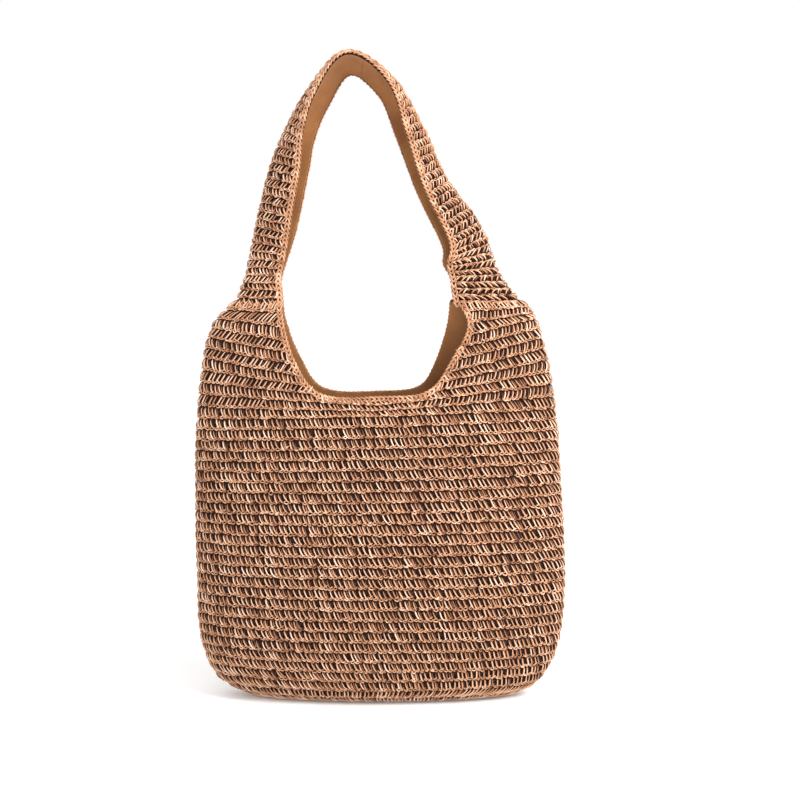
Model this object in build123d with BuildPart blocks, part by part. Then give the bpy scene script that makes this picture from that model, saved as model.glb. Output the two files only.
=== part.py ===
from build123d import *
import os
from math import cos, degrees, radians, sin

# Hobo bag crocheted from twisted paper straw, with a cloth lining, a strap that grows
# out of two shoulders, a magnetic snap at the mouth and a zipped inner pocket.
# Frame: +Z up, the front faces -Y, origin under the middle of the base. Millimetres.

# ---- driving dimensions -------------------------------------------------------------
WALL = 4.0  # thickness of the crocheted fabric
GAP = 0.3  # loose fit between the crochet and the lining
LINING = 1.0  # thickness of a lining panel
EDGING = 5.0  # width of the slip-stitch edging round the mouth and the strap
CORD_R = 2.0  # the strap's edging is a round cord of this radius
BASE_TOP = 20.0  # the oval base turns up into the wall at this height
SHOULDER_TOP = 402.0  # the shoulders end here, under the strap seams
HINGE_Z = 412.0  # the line that the strap folds over about
STRAP_FOOT = 428.0  # the strap's crochet starts here

# Rings of the bag's form: height, half width, half depth, and how far the ring stands
# to the side, where the full bag leans over.
RINGS = [
    (0, 130, 31, 0),
    (4, 143, 39, 0),
    (10, 155, 44, 0),
    (18, 165, 48, -1),
    (34, 175, 51, -1),
    (58, 182.5, 54, -1),
    (84, 185.5, 55, -0.5),
    (112, 186.5, 55, 0),
    (140, 186.5, 54, -0.5),
    (170, 186, 52, -1.5),
    (204, 185, 48.5, -2.5),
    (238, 183.5, 44.5, -3.5),
    (270, 182, 39.5, -4),
    (298, 179.5, 34.5, -4.5),
    (322, 176.5, 30, -5),
    (344, 173, 26, -5.5),
    (362, 168.5, 22.5, -6),
    (378, 163.5, 19, -5.5),
    (391, 155, 14, -3),
    (402, 144.5, 9.5, -1),
    (410, 137, 8, -1),
]
_, SHOULDER_A, SHOULDER_B, SHOULDER_SIDE = RINGS[-2]
ROUND_BOTTOM = 60.0  # an inner form's floor rises by its inset, fading out up to here

# The scooped mouth, seen from the front, as points (x, z) from left to right. The back
# wall's scoop is narrower, so its lining shows past the front one.
FRONT_SCOOP = [
    (-98, 425), (-97, 387), (-84, 342), (-58, 311), (0, 309),
    (46, 314), (70, 345), (86, 379), (70, 408), (67, 425),
]
BACK_SCOOP = [
    (-98, 425), (-96, 385), (-82, 345), (-58, 312), (0, 309),
    (38, 314), (54, 338), (66, 376), (69, 410), (68, 425),
]
SCOOP_TOP = 450.0
SCOOP_STEPS = 18
CUT_DEPTH = 90.0

# The strap from its left foot over the top to its right foot. Each station gives the
# fold line's x and z, the band's heading in degrees from straight up, the depth of its C
# section towards the inside of the loop, the section's half width front to back, and its
# tilt in degrees, front edge outwards. A tilted section is set back by half its lean.
STRAP = [
    (-135, STRAP_FOOT, 0, 37, 9, 0),
    (-123, 486, 13, 40, 13, 16),
    (-108, 540, 15, 36, 15, 18),
    (-92.5, 573, 28, 26, 18, 20),
    (-70, 608, 42, 17, 22, 22),
    (-33, 642, 82, 10, 23, 24),
    (11, 619, 133, 14, 21, 22),
    (41, 574, 152, 25, 17, 20),
    (65, 524, 151, 31, 15, 18),
    (99, 478, 150, 43, 13, 20),
    (111, 449, 168, 50, 11, 12),
    (119, STRAP_FOOT, 180, 51, 9, 0),
]

# Seams that join the strap to the shoulders: a roll of joining yarn that the strap's
# yarn loops turn on.
ROLL_R = 5.0
LOOP_BORE_R = 5.3
LOOP_R = 8.5
KNUCKLE_W = 6.0
NECK_D = 12.0
FOOT_T = 1.5
SEAM_D = 8.0
SADDLE_T = 1.0
LEFT_SEAM = {"from": -142.0, "to": -103.0, "webs": (-139.0, -121.5, -106.0), "loops": (-130.0, -113.5)}
RIGHT_SEAM = {"from": 82.0, "to": 127.0, "webs": (85.0, 104.5, 124.0), "loops": (94.5, 114.0)}

# Magnetic snap, one half on each lining panel.
SNAP_X = -5.0
SNAP_Z = 288.0
SNAP_R = 9.0
SNAP_T = 2.2
PATCH_R = 14.0
PATCH_T = 0.8
SNAP_FACE_Y = 30.75  # where the patch lies on the lining's inner face
WALL_SLOPE = 10.2  # degrees that the wall leans in at the snap

# Zipped pouch that hangs inside the back lining panel.
POCKET_W = 150.0
POCKET_LOW, POCKET_HIGH = 140.0, 258.0
POCKET_FRONT, POCKET_BACK = 25.0, 31.0
PLY = 1.0
POCKET_CORNER = 10.0
ZIP_Z = 241.0
SLOT_W, SLOT_H = 132.0, 14.0
TAPE_W, TAPE_H, TAPE_T = 142.0, 10.5, 0.8
TAPE_LIFT = 2.2  # from the zip's middle to each tape's edge
TOOTH_PITCH = 2.0
TOOTH_COUNT = 64
TOOTH = (1.0, 1.6, 1.4)
SPINE_H = 0.6
HEADER_W, HEADER_T = 124.0, 2.0
SLIDER_X = -56.0
SLIDER_L, SLIDER_H = 9.0, 8.4
PLATE_T = 1.1
SLIDER_RUN = 0.6  # clearance between the slider's plates and the teeth
POST_L, POST_H = 3.0, 1.0
BRIDGE_L, BRIDGE_D, BRIDGE_H = 6.7, 3.4, 2.4
PULL_PIN_R = 0.9
PULL_OFF = 1.2  # from the slider's front plate to the middle of the pull's pin
PULL_T = 1.4
PULL_W = 6.4
PULL_L = 26.0


# ---- shared shapes ------------------------------------------------------------------
def bag_form(inset):
    """The bag's solid form, drawn in by inset all round."""
    with BuildPart() as form:
        for z, half_width, half_depth, side in RINGS:
            floor_rise = inset * max(0.0, 1.0 - z / ROUND_BOTTOM)
            with BuildSketch(Plane.XY.offset(z + floor_rise)):
                with Locations((side, 0)):
                    Ellipse(half_width - inset, half_depth - inset)
        loft(ruled=True)
        split(bisect_by=Plane.XY.offset(SHOULDER_TOP), keep=Keep.BOTTOM)
    return form.part


def scoop(points, widened, depth):
    """A cutter for the mouth, widened all round, that runs from the middle plane to depth."""
    with BuildPart() as cutter:
        with BuildSketch(Plane.XZ):
            with BuildLine():
                edge = Spline(*points, mode=Mode.PRIVATE)
                steps = [edge @ (step / SCOOP_STEPS) for step in range(SCOOP_STEPS + 1)]
                Polyline(
                    *steps, (points[-1][0], SCOOP_TOP), (points[0][0], SCOOP_TOP), close=True
                )
            make_face()
            if widened:
                offset(amount=widened)
        extrude(amount=depth)
    return cutter.part


def strap_plane(station):
    """The plane of one strap section: x towards the inside of the loop, y to the back."""
    x, z, heading, depth, _, tilt = station
    along = (sin(radians(heading)), 0.0, cos(radians(heading)))
    turn = radians(tilt)
    x_dir = (along[2] * cos(turn), -sin(turn), -along[0] * cos(turn))
    return Plane(origin=(x, depth / 2 * sin(turn), z), x_dir=x_dir, z_dir=along)


def strap_band(inset, thickness):
    """One layer of the C-shaped strap, which ends one edging's width short of each edge."""
    with BuildPart() as band:
        for station in STRAP:
            depth, half_width = station[3:5]
            edge = degrees(EDGING / depth)
            start, sweep = 90 + edge, 180 - 2 * edge
            deeper = inset + thickness
            with BuildSketch(strap_plane(station)):
                with BuildLine():
                    outer = EllipticalCenterArc(
                        (depth, 0), depth - inset, half_width - inset, start, arc_size=sweep
                    )
                    inner = EllipticalCenterArc(
                        (depth, 0), depth - deeper, half_width - deeper, start, arc_size=sweep
                    )
                    Line(outer @ 0, inner @ 0)
                    Line(outer @ 1, inner @ 1)
                make_face()
        loft(ruled=True)
    return band.part


outer_form = bag_form(0)
lining_hollow = bag_form(WALL + GAP + LINING)
with BuildPart() as crochet_shell:
    add(outer_form)
    add(bag_form(WALL), mode=Mode.SUBTRACT)
with BuildPart() as lining_shell:
    add(bag_form(WALL + GAP))
    add(lining_hollow, mode=Mode.SUBTRACT)
front_cut = scoop(FRONT_SCOOP, 0, CUT_DEPTH)
back_cut = scoop(BACK_SCOOP, 0, -CUT_DEPTH)
front_cut_wide = scoop(FRONT_SCOOP, EDGING, CUT_DEPTH)
back_cut_wide = scoop(BACK_SCOOP, EDGING, -CUT_DEPTH)
finished = {}


def keep(builder, name):
    builder.part.label = name
    finished[name] = builder.part


# ---- crochet ------------------------------------------------------------------------
# The oval base: flat rounds that turn up at the rim.
with BuildPart() as crochet_base:
    add(crochet_shell.part)
    split(bisect_by=Plane.XY.offset(BASE_TOP), keep=Keep.BOTTOM)
keep(crochet_base, "crochet_base")

# The wall, worked in rounds from the base to the mouth and on into the two shoulders.
with BuildPart() as crochet_body:
    add(crochet_shell.part)
    split(bisect_by=Plane.XY.offset(BASE_TOP), keep=Keep.TOP)
    add(front_cut_wide, mode=Mode.SUBTRACT)
    add(back_cut_wide, mode=Mode.SUBTRACT)
keep(crochet_body, "crochet_body")

# The slip-stitch edging that finishes each half of the mouth.
for side, wide, narrow in (
    ("front", front_cut_wide, front_cut),
    ("back", back_cut_wide, back_cut),
):
    with BuildPart() as mouth_edging:
        add(crochet_shell.part)
        add(wide, mode=Mode.INTERSECT)
        add(narrow, mode=Mode.SUBTRACT)
    keep(mouth_edging, f"mouth_edging_{side}")

# ---- lining -------------------------------------------------------------------------
for side, cut, kept in (
    ("front", front_cut, Keep.TOP),
    ("back", back_cut, Keep.BOTTOM),
):
    with BuildPart() as lining_panel:
        add(lining_shell.part)
        split(bisect_by=Plane.XY.offset(BASE_TOP), keep=Keep.TOP)
        add(cut, mode=Mode.SUBTRACT)
        split(bisect_by=Plane.XZ, keep=kept)
    keep(lining_panel, f"lining_{side}_panel")

with BuildPart() as lining_base_panel:
    add(lining_shell.part)
    split(bisect_by=Plane.XY.offset(BASE_TOP), keep=Keep.BOTTOM)
keep(lining_base_panel, "lining_base_panel")

# ---- magnetic snap ------------------------------------------------------------------
for side, facing in (("front", 1), ("back", -1)):
    inward = (0, facing * cos(radians(WALL_SLOPE)), -sin(radians(WALL_SLOPE)))
    face = Plane(
        origin=(SNAP_X, -facing * SNAP_FACE_Y, SNAP_Z), x_dir=(1, 0, 0), z_dir=inward
    )
    with BuildPart() as snap_patch:
        with BuildSketch(face):
            Circle(PATCH_R)
        extrude(amount=PATCH_T)
    keep(snap_patch, f"snap_patch_{side}")
    on_patch = face.offset(PATCH_T)
    if side == "front":
        with BuildPart() as snap_stud:
            with BuildSketch(on_patch):
                Circle(SNAP_R)
            extrude(amount=SNAP_T)
            fillet(snap_stud.edges().filter_by(GeomType.CIRCLE).group_by(Axis.Y)[-1], 0.6)
            with BuildSketch(on_patch.offset(SNAP_T)):
                Circle(SNAP_R * 0.28)
            extrude(amount=SNAP_T)
        keep(snap_stud, "snap_stud")
    else:
        with BuildPart() as snap_socket:
            with BuildSketch(on_patch):
                Circle(SNAP_R)
            extrude(amount=SNAP_T * 1.5)
            with BuildSketch(on_patch.offset(SNAP_T * 0.4)):
                Circle(SNAP_R * 0.33)
            extrude(amount=SNAP_T * 1.5, mode=Mode.SUBTRACT)
        keep(snap_socket, "snap_socket")

# ---- zipped pocket ------------------------------------------------------------------
pocket_height = POCKET_HIGH - POCKET_LOW
pocket_middle = (POCKET_HIGH + POCKET_LOW) / 2
with BuildPart() as pocket_bag:
    with BuildSketch(Plane.XZ.offset(-POCKET_BACK)):
        with Locations((0, pocket_middle)):
            RectangleRounded(POCKET_W, pocket_height, POCKET_CORNER)
    extrude(amount=POCKET_BACK - POCKET_FRONT)
    with BuildSketch(Plane.XZ.offset(-POCKET_BACK + PLY)):
        with Locations((0, pocket_middle)):
            RectangleRounded(
                POCKET_W - 2 * PLY, pocket_height - 2 * PLY, POCKET_CORNER - PLY
            )
    extrude(amount=POCKET_BACK - POCKET_FRONT - 2 * PLY, mode=Mode.SUBTRACT)
    with BuildSketch(Plane.XZ.offset(-POCKET_FRONT - PLY)):
        with Locations((0, ZIP_Z)):
            Rectangle(SLOT_W, SLOT_H)
    extrude(amount=2 * PLY, mode=Mode.SUBTRACT)
keep(pocket_bag, "pocket_bag")

for side, up in (("upper", 1), ("lower", -1)):
    with BuildPart() as zip_tape:
        with BuildSketch(Plane.XZ.offset(-POCKET_FRONT)):
            with Locations((0, ZIP_Z + up * (TAPE_LIFT + TAPE_H / 2))):
                Rectangle(TAPE_W, TAPE_H)
        extrude(amount=TAPE_T)
    keep(zip_tape, f"zip_tape_{side}")

# A row of teeth on each tape's edge. The rows stop short of each other, which leaves the
# slider's post room to travel between them.
tape_middle_y = POCKET_FRONT - TAPE_T / 2
for side, up, shift in (("upper", 1, 0.0), ("lower", -1, TOOTH_PITCH / 2)):
    with BuildPart() as zip_teeth:
        with Locations((0, tape_middle_y, ZIP_Z + up * (TAPE_LIFT - SPINE_H / 2))):
            Box(TOOTH_PITCH * TOOTH_COUNT, TOOTH[1] * 0.8, SPINE_H)
        with Locations((shift / 2, tape_middle_y, ZIP_Z + up * (TAPE_LIFT - TOOTH[2] / 2))):
            with GridLocations(TOOTH_PITCH, 1, TOOTH_COUNT - 1, 1):
                Box(*TOOTH)
    keep(zip_teeth, f"zip_teeth_{side}")

with BuildPart() as zip_end_stops:
    for end in (1, -1):
        with Locations((end * (SLOT_W / 2 + 1.0), POCKET_FRONT - TAPE_T - 0.6, ZIP_Z)):
            Box(2.5, 1.2, 2 * TAPE_LIFT + 4.0)
keep(zip_end_stops, "zip_end_stops")

# The folded strip that joins the top of the pouch to the back lining.
with BuildPart() as pocket_header:
    with BuildSketch(Plane.XY.offset(POCKET_HIGH - HEADER_T)):
        with Locations((0, POCKET_BACK)):
            Rectangle(HEADER_W, CUT_DEPTH, align=(Align.CENTER, Align.MIN))
    extrude(amount=HEADER_T)
    add(lining_hollow, mode=Mode.INTERSECT)
keep(pocket_header, "pocket_header")

# The slider: a plate in front of the teeth and one behind, a post between them, and a
# bridge on the front that the pull's pin turns under.
front_plate_y = tape_middle_y - TOOTH[1] / 2 - SLIDER_RUN
back_plate_y = tape_middle_y + TOOTH[1] / 2 + SLIDER_RUN
front_face_y = front_plate_y - PLATE_T
with BuildPart() as slider_body:
    with BuildSketch(Plane.XZ.offset(-front_plate_y)):
        with Locations((SLIDER_X, ZIP_Z)):
            RectangleRounded(SLIDER_L, SLIDER_H, 1.5)
    extrude(amount=PLATE_T)
    with BuildSketch(Plane.XZ.offset(-back_plate_y)):
        with Locations((SLIDER_X, ZIP_Z)):
            RectangleRounded(SLIDER_L, SLIDER_H, 1.5)
    extrude(amount=-PLATE_T)
    with Locations((SLIDER_X, (front_plate_y + back_plate_y) / 2, ZIP_Z)):
        Box(POST_L, back_plate_y - front_plate_y + 0.2, POST_H)
    with BuildSketch(Plane.XY.offset(ZIP_Z - BRIDGE_H / 2)):
        with Locations((SLIDER_X, front_face_y - BRIDGE_D / 2)):
            Rectangle(BRIDGE_L, BRIDGE_D)
        with Locations((SLIDER_X, front_face_y - PULL_OFF)):
            Rectangle(BRIDGE_L - 2.4, 2 * PULL_OFF, mode=Mode.SUBTRACT)
    extrude(amount=BRIDGE_H)
keep(slider_body, "slider_body")

# The pull: a pin under the bridge, two arms that pass outside it and a flat tab.
pull_y = front_face_y - PULL_OFF
with BuildPart() as slider_pull:
    with BuildSketch(Plane.XZ.offset(-pull_y - PULL_T / 2)):
        with Locations((SLIDER_X - PULL_PIN_R, ZIP_Z)):
            Rectangle(PULL_L, PULL_W, align=(Align.MIN, Align.CENTER))
        with Locations((SLIDER_X, ZIP_Z)):
            Rectangle(9.4, BRIDGE_H + 0.8, mode=Mode.SUBTRACT)
    extrude(amount=PULL_T, both=False)
    fillet(slider_pull.edges().filter_by(Axis.Y).group_by(Axis.X)[-1], 2.6)
    with Locations((SLIDER_X, pull_y, ZIP_Z)):
        Cylinder(PULL_PIN_R, PULL_W)
keep(slider_pull, "slider_pull")

# ---- strap --------------------------------------------------------------------------
# One crocheted band from shoulder to shoulder, folded into a C about its outer edge.
with BuildPart() as strap_crochet:
    add(strap_band(0, WALL))
keep(strap_crochet, "strap_crochet")

# The slip-stitch cord along each long edge of the band, in the middle of its thickness.
for side, way in (("front", -1), ("back", 1)):
    centres = []
    for station in STRAP:
        depth, half_width = station[3:5]
        edge = EDGING / depth / 2
        x = depth - (depth - WALL / 2) * sin(edge)
        y = way * (half_width - WALL / 2) * cos(edge)
        centres.append(strap_plane(station).from_local_coords(Vector(x, y, 0)))
    with BuildPart() as strap_edging:
        with BuildLine() as path:
            Polyline(*centres)
        with BuildSketch(Plane(origin=centres[0], z_dir=path.line % 0)):
            Circle(CORD_R)
        sweep(path=path.line, transition=Transition.RIGHT)
        split(bisect_by=Plane.XY.offset(STRAP_FOOT), keep=Keep.TOP)
    keep(strap_edging, f"strap_edging_{side}")

# The strap's cloth lining, on the inside of the fold.
with BuildPart() as strap_lining:
    add(strap_band(WALL + GAP, LINING))
keep(strap_lining, "strap_lining")

# ---- seams that join the strap to the shoulders -------------------------------------
for side, seam in (("left", LEFT_SEAM), ("right", RIGHT_SEAM)):
    start, length = seam["from"], seam["to"] - seam["from"]
    middle = start + length / 2
    with BuildPart() as shoulder_seam:
        with BuildSketch(Plane.XY.offset(SHOULDER_TOP)):
            with Locations((SHOULDER_SIDE, 0)):
                Ellipse(SHOULDER_A, SHOULDER_B)
            with Locations((middle, 0)):
                Rectangle(length, 4 * SEAM_D, mode=Mode.INTERSECT)
        extrude(amount=SADDLE_T)
        with Locations(Location((middle, 0, HINGE_Z), (0, 90, 0))):
            Cylinder(ROLL_R, length)
        for x in seam["webs"]:
            with Locations((x, 0, SHOULDER_TOP + SADDLE_T)):
                Box(
                    KNUCKLE_W, SEAM_D, HINGE_Z - SHOULDER_TOP - SADDLE_T,
                    align=(Align.CENTER, Align.CENTER, Align.MIN),
                )
    keep(shoulder_seam, f"shoulder_seam_{side}")

    with BuildPart() as strap_lashing:
        for x in seam["loops"]:
            with Locations(Location((x, 0, HINGE_Z), (0, 90, 0))):
                Cylinder(LOOP_R, KNUCKLE_W)
            with Locations((x, 0, HINGE_Z)):
                Box(
                    KNUCKLE_W, NECK_D, STRAP_FOOT - HINGE_Z,
                    align=(Align.CENTER, Align.CENTER, Align.MIN),
                )
        with Locations((middle, 0, STRAP_FOOT - FOOT_T)):
            Box(
                length - 2 * KNUCKLE_W, NECK_D, FOOT_T,
                align=(Align.CENTER, Align.CENTER, Align.MIN),
            )
        with Locations(Location((middle, 0, HINGE_Z), (0, 90, 0))):
            Cylinder(LOOP_BORE_R, length, mode=Mode.SUBTRACT)
    keep(strap_lashing, f"strap_lashing_{side}")

# ---- write one file for each part ---------------------------------------------------
os.makedirs("parts", exist_ok=True)
for name, part in finished.items():
    export_step(part, f"parts/{name}.step")
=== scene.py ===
# %% [markdown]
# # A hobo bag crocheted from twisted paper straw
# The bag is worked in rounds from an oval base, open at the top in a wide scoop, and its
# two shoulders run on into one broad strap. Each stitch is a few short curves of straw,
# so the stitches here are real strands laid on a smooth surface, not a picture of them.
# Everything is in metres, and the bag's front faces -Y.

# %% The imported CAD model, the frame that everything is built on
"""A crocheted hobo bag: straw stitches, edging, cloth lining, pocket, zip and snap."""
import math

import bmesh
import bpy
import numpy as np
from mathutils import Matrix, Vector


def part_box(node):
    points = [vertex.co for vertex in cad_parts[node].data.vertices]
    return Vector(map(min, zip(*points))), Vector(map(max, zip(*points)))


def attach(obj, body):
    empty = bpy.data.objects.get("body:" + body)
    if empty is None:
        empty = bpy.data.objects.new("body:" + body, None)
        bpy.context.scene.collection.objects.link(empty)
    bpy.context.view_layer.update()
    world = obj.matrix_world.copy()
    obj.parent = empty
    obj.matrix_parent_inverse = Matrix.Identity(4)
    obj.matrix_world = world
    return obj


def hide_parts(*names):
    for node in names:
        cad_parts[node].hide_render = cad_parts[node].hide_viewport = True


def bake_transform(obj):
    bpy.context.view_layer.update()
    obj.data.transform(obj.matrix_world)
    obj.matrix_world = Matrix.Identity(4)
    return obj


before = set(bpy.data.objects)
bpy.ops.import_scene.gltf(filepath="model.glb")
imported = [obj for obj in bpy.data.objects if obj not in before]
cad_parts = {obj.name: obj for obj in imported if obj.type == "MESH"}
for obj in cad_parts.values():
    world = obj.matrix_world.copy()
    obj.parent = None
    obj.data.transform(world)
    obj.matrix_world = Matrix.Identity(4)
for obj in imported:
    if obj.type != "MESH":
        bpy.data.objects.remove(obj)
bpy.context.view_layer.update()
MM = 0.001
chance = np.random.default_rng(28)

# %% [markdown]
# The bag's form is a stack of ovals. Between two ovals the size changes evenly.

# %% The ovals of the bag's form: height, half width, half depth, shift to the side (mm)
OVALS = np.array([
    (0, 130, 31, 0), (4, 143, 39, 0), (10, 155, 44, 0), (18, 165, 48, -1),
    (34, 175, 51, -1), (58, 182.5, 54, -1), (84, 185.5, 55, -0.5), (112, 186.5, 55, 0),
    (140, 186.5, 54, -0.5), (170, 186, 52, -1.5), (204, 185, 48.5, -2.5),
    (238, 183.5, 44.5, -3.5), (270, 182, 39.5, -4), (298, 179.5, 34.5, -4.5),
    (322, 176.5, 30, -5), (344, 173, 26, -5.5), (362, 168.5, 22.5, -6),
    (378, 163.5, 19, -5.5), (391, 155, 14, -3), (402, 144.5, 9.5, -1), (410, 137, 8, -1),
]) * MM
ROUND_H = 10.7 * MM
SHOULDER_TOP = 402 * MM  # the shoulders end here
STRAP_FOOT = 428 * MM  # the strap's own rows start here
BASE_TURN = 20 * MM  # the base turns up into the wall below this height

# How deep each layer lies under the form's outer surface.
YARN = 1.0 * MM  # the surface that stitches are laid on
CHAIN = 2.2 * MM
SHADE = (2.2 * MM, 3.9 * MM)  # the straw deep inside, dark with painted shade, outer and inner face
STRAP_SHADE = (2.2 * MM, 4.2 * MM)
CLOTH = (4.5 * MM, 5.2 * MM)
STRAP_CLOTH = (4.3 * MM, 5.0 * MM)
print("ovals:", len(OVALS), "height to the shoulders (m):", SHOULDER_TOP)


def oval_at(height):
    """Half width, half depth and shift of the form at each height, by straight lines
    between the measured ovals."""
    return [np.interp(height, OVALS[:, 0], OVALS[:, i]) for i in (1, 2, 3)]


def evenly(points, count, closed=False):
    """Points spaced evenly along each row of points: the length run so far along the row
    is divided into equal parts, and each part's end is read off between its neighbours."""
    step = np.linalg.norm(np.diff(points, axis=1), axis=2)
    run = np.concatenate([np.zeros((len(points), 1)), np.cumsum(step, axis=1)], axis=1)
    want = np.linspace(0, 1, count, endpoint=not closed)
    out = np.empty((len(points), count, 3))
    for row in range(len(points)):
        for axis in range(3):
            out[row, :, axis] = np.interp(want * run[row, -1], run[row], points[row, :, axis])
    return out


def normals_of(grid, closed):
    """Unit normals of a grid of points: the cross product of the change along a row and
    the change from row to row."""
    if closed:
        wrapped = np.concatenate([grid[:, -1:], grid, grid[:, :1]], axis=1)
        along = (wrapped[:, 2:] - wrapped[:, :-2])
    else:
        along = np.gradient(grid, axis=1)
    up = np.gradient(grid, axis=0)
    n = np.cross(along, up)
    return n / np.maximum(np.linalg.norm(n, axis=2, keepdims=True), 1e-12)


class Fabric:
    """A smooth surface that stitches lie on: a grid of points, one row to each course of
    stitches (or a fixed number of rows to a course) and one column to each stitch."""

    def __init__(self, grid, closed, per_row=1.0, per_col=1.0):
        self.grid, self.closed = grid, closed
        self.normal = normals_of(grid, closed)
        self.per_row, self.per_col = per_row, per_col

    def at(self, row, col, lift):
        """Points at a place counted in courses and stitches, raised by lift: the four grid
        points round it are averaged by how near they are, then moved along the normal."""
        r = np.clip(row * self.per_row, 0, len(self.grid) - 1.0001)
        c = col * self.per_col
        width = self.grid.shape[1]
        if self.closed:
            c = np.mod(c, width)
        else:
            c = np.clip(c, 0, width - 1.0001)
        r0, c0 = np.floor(r).astype(int), np.floor(c).astype(int)
        r0 = np.minimum(r0, len(self.grid) - 2)
        c1 = (c0 + 1) % width if self.closed else c0 + 1
        fr, fc = (r - r0)[..., None], (c - c0)[..., None]

        def mixed(a):
            low = a[r0, c0] * (1 - fc) + a[r0, c1] * fc
            high = a[r0 + 1, c0] * (1 - fc) + a[r0 + 1, c1] * fc
            return low * (1 - fr) + high * fr

        n = mixed(self.normal)
        n /= np.maximum(np.linalg.norm(n, axis=-1, keepdims=True), 1e-12)
        return mixed(self.grid) + n * lift[..., None], n


# %% [markdown]
# The wall's surface has one column of grid points to each stitch of a round and four rows
# to each round. Rounds are level near the base. Higher up they climb slightly to the
# right, where the full bag has been pulled, and in the shoulders they dip towards the
# mouth, because the strap hangs from the outer corners.

# %% The wall as a fabric
ROUND_STITCHES = 164
ROWS_PER_ROUND = 4
YARN_RISE = 2.6 * MM  # at the floor, stitches start this much higher
CLIMB = 0.028  # of the distance to the right, at full height
DIP = 0.20  # of the distance towards the middle, in the shoulders


def round_heights():
    """Heights of the grid rows, spaced evenly along the wall's front from base to shoulder."""
    z = np.linspace(0, SHOULDER_TOP, 900)
    _, b, _ = oval_at(z)
    run = np.concatenate([[0], np.cumsum(np.hypot(np.diff(z), np.diff(b)))])
    rounds = int(round(run[-1] / ROUND_H))
    want = np.linspace(0, run[-1], rounds * ROWS_PER_ROUND + 1)
    return np.interp(want, run, z), rounds


def wall_points(heights, inset, columns, rise=None, span=(0.0, 1.0), closed=True):
    """Ovals at the given heights, drawn in by inset. Each point's height also gets the
    round's own climb to the right, its dip towards the mouth, and near the floor the
    rise that keeps it off the floor. span is the share of the turn, from the front."""
    rise = inset if rise is None else rise
    turn = np.linspace(2 * math.pi * span[0], 2 * math.pi * span[1], 721)
    x_share = np.cos(turn - math.pi / 2)[None, :]
    climb = CLIMB * np.clip((heights - 0.09) / 0.17, 0, 1)
    fade = np.clip((SHOULDER_TOP - heights) / 0.03, 0, 1) * np.clip(heights / 0.03, 0, 1)
    a0, _, _ = oval_at(heights)
    x = x_share * a0[:, None]
    dip = DIP * np.clip((heights - 0.29) / 0.05, 0, 1)[:, None] * (np.abs(x) - 0.13)
    z = heights[:, None] + (climb[:, None] * x + dip) * fade[:, None]
    a, b, side = oval_at(z)
    points = np.stack([
        (a - inset) * np.cos(turn - math.pi / 2) + side,
        (b - inset) * np.sin(turn - math.pi / 2),
        z + rise * np.clip(1 - z / 0.06, 0, 1),
    ], axis=2)
    return evenly(points, columns, closed=closed)


heights, rounds = round_heights()
wall = Fabric(
    wall_points(heights, YARN, ROUND_STITCHES, rise=YARN_RISE), True, ROWS_PER_ROUND)
print("rounds in the wall:", rounds, "stitches in a round:", ROUND_STITCHES)

# %% [markdown]
# The scoop of the mouth is a smooth outline seen from the front. Its front and back
# differ a little, so the lining shows past the front edge.

# %% The mouth's outline
FRONT_SCOOP = [(-98, 425), (-97, 387), (-84, 342), (-58, 311), (0, 309),
               (46, 314), (70, 345), (86, 379), (70, 408), (67, 425)]
BACK_SCOOP = [(-98, 425), (-96, 385), (-82, 345), (-58, 312), (0, 309),
              (38, 314), (54, 338), (66, 376), (69, 410), (68, 425)]


def smooth_line(points, count):
    """A curve through the points: on each span the four nearest points are mixed by the
    Catmull-Rom weights, then the result is spaced evenly by length."""
    p = np.array(points, float)
    p = np.vstack([2 * p[0] - p[1], p, 2 * p[-1] - p[-2]])
    t = np.linspace(0, 1, 24, endpoint=False)[:, None]
    spans = [
        0.5 * (2 * p[i + 1] + (p[i + 2] - p[i]) * t
               + (2 * p[i] - 5 * p[i + 1] + 4 * p[i + 2] - p[i + 3]) * t ** 2
               + (3 * p[i + 1] - p[i] - 3 * p[i + 2] + p[i + 3]) * t ** 3)
        for i in range(len(p) - 3)
    ]
    line = np.vstack(spans + [p[-2:-1]])
    step = np.linalg.norm(np.diff(line[:, :2], axis=0), axis=1)
    run = np.concatenate([[0], np.cumsum(step)])
    want = np.linspace(0, run[-1], count)
    return np.stack([np.interp(want, run, line[:, i]) for i in range(line.shape[1])], axis=1)


def inside(outline, x, z):
    """True where (x, z) is inside the outline: a line to the right crosses its edges an
    odd number of times."""
    hit = np.zeros(np.shape(x), bool)
    for (x0, z0), (x1, z1) in zip(outline, np.roll(outline, -1, axis=0)):
        if z0 == z1:
            continue
        across = (z0 > z) != (z1 > z)
        hit ^= across & (x < (x1 - x0) * (z - z0) / (z1 - z0) + x0)
    return hit


def scoop_outline(points, grow):
    """The scoop as a closed outline in metres, grown outwards by moving each point along
    the line's own normal."""
    line = smooth_line(points, 90) * MM
    d = np.gradient(line, axis=0)
    d /= np.linalg.norm(d, axis=1, keepdims=True)
    line = line + np.stack([d[:, 1], -d[:, 0]], axis=1) * grow
    return np.vstack([line, [(line[-1, 0], 0.5), (line[0, 0], 0.5)]])


print("mouth line length (m):", round(float(np.linalg.norm(
    np.diff(smooth_line(FRONT_SCOOP, 90), axis=0), axis=1).sum() * MM), 3))

# %% [markdown]
# The strap is one band folded along its length into a C, with the fold on the outside and
# the lining within. Along it the fold's path, the depth and the width of the C change, and
# near the top the band opens and tips its front edge up. The same stations serve the
# crochet, the lining and the edging, each drawn in by its own amount.

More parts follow.
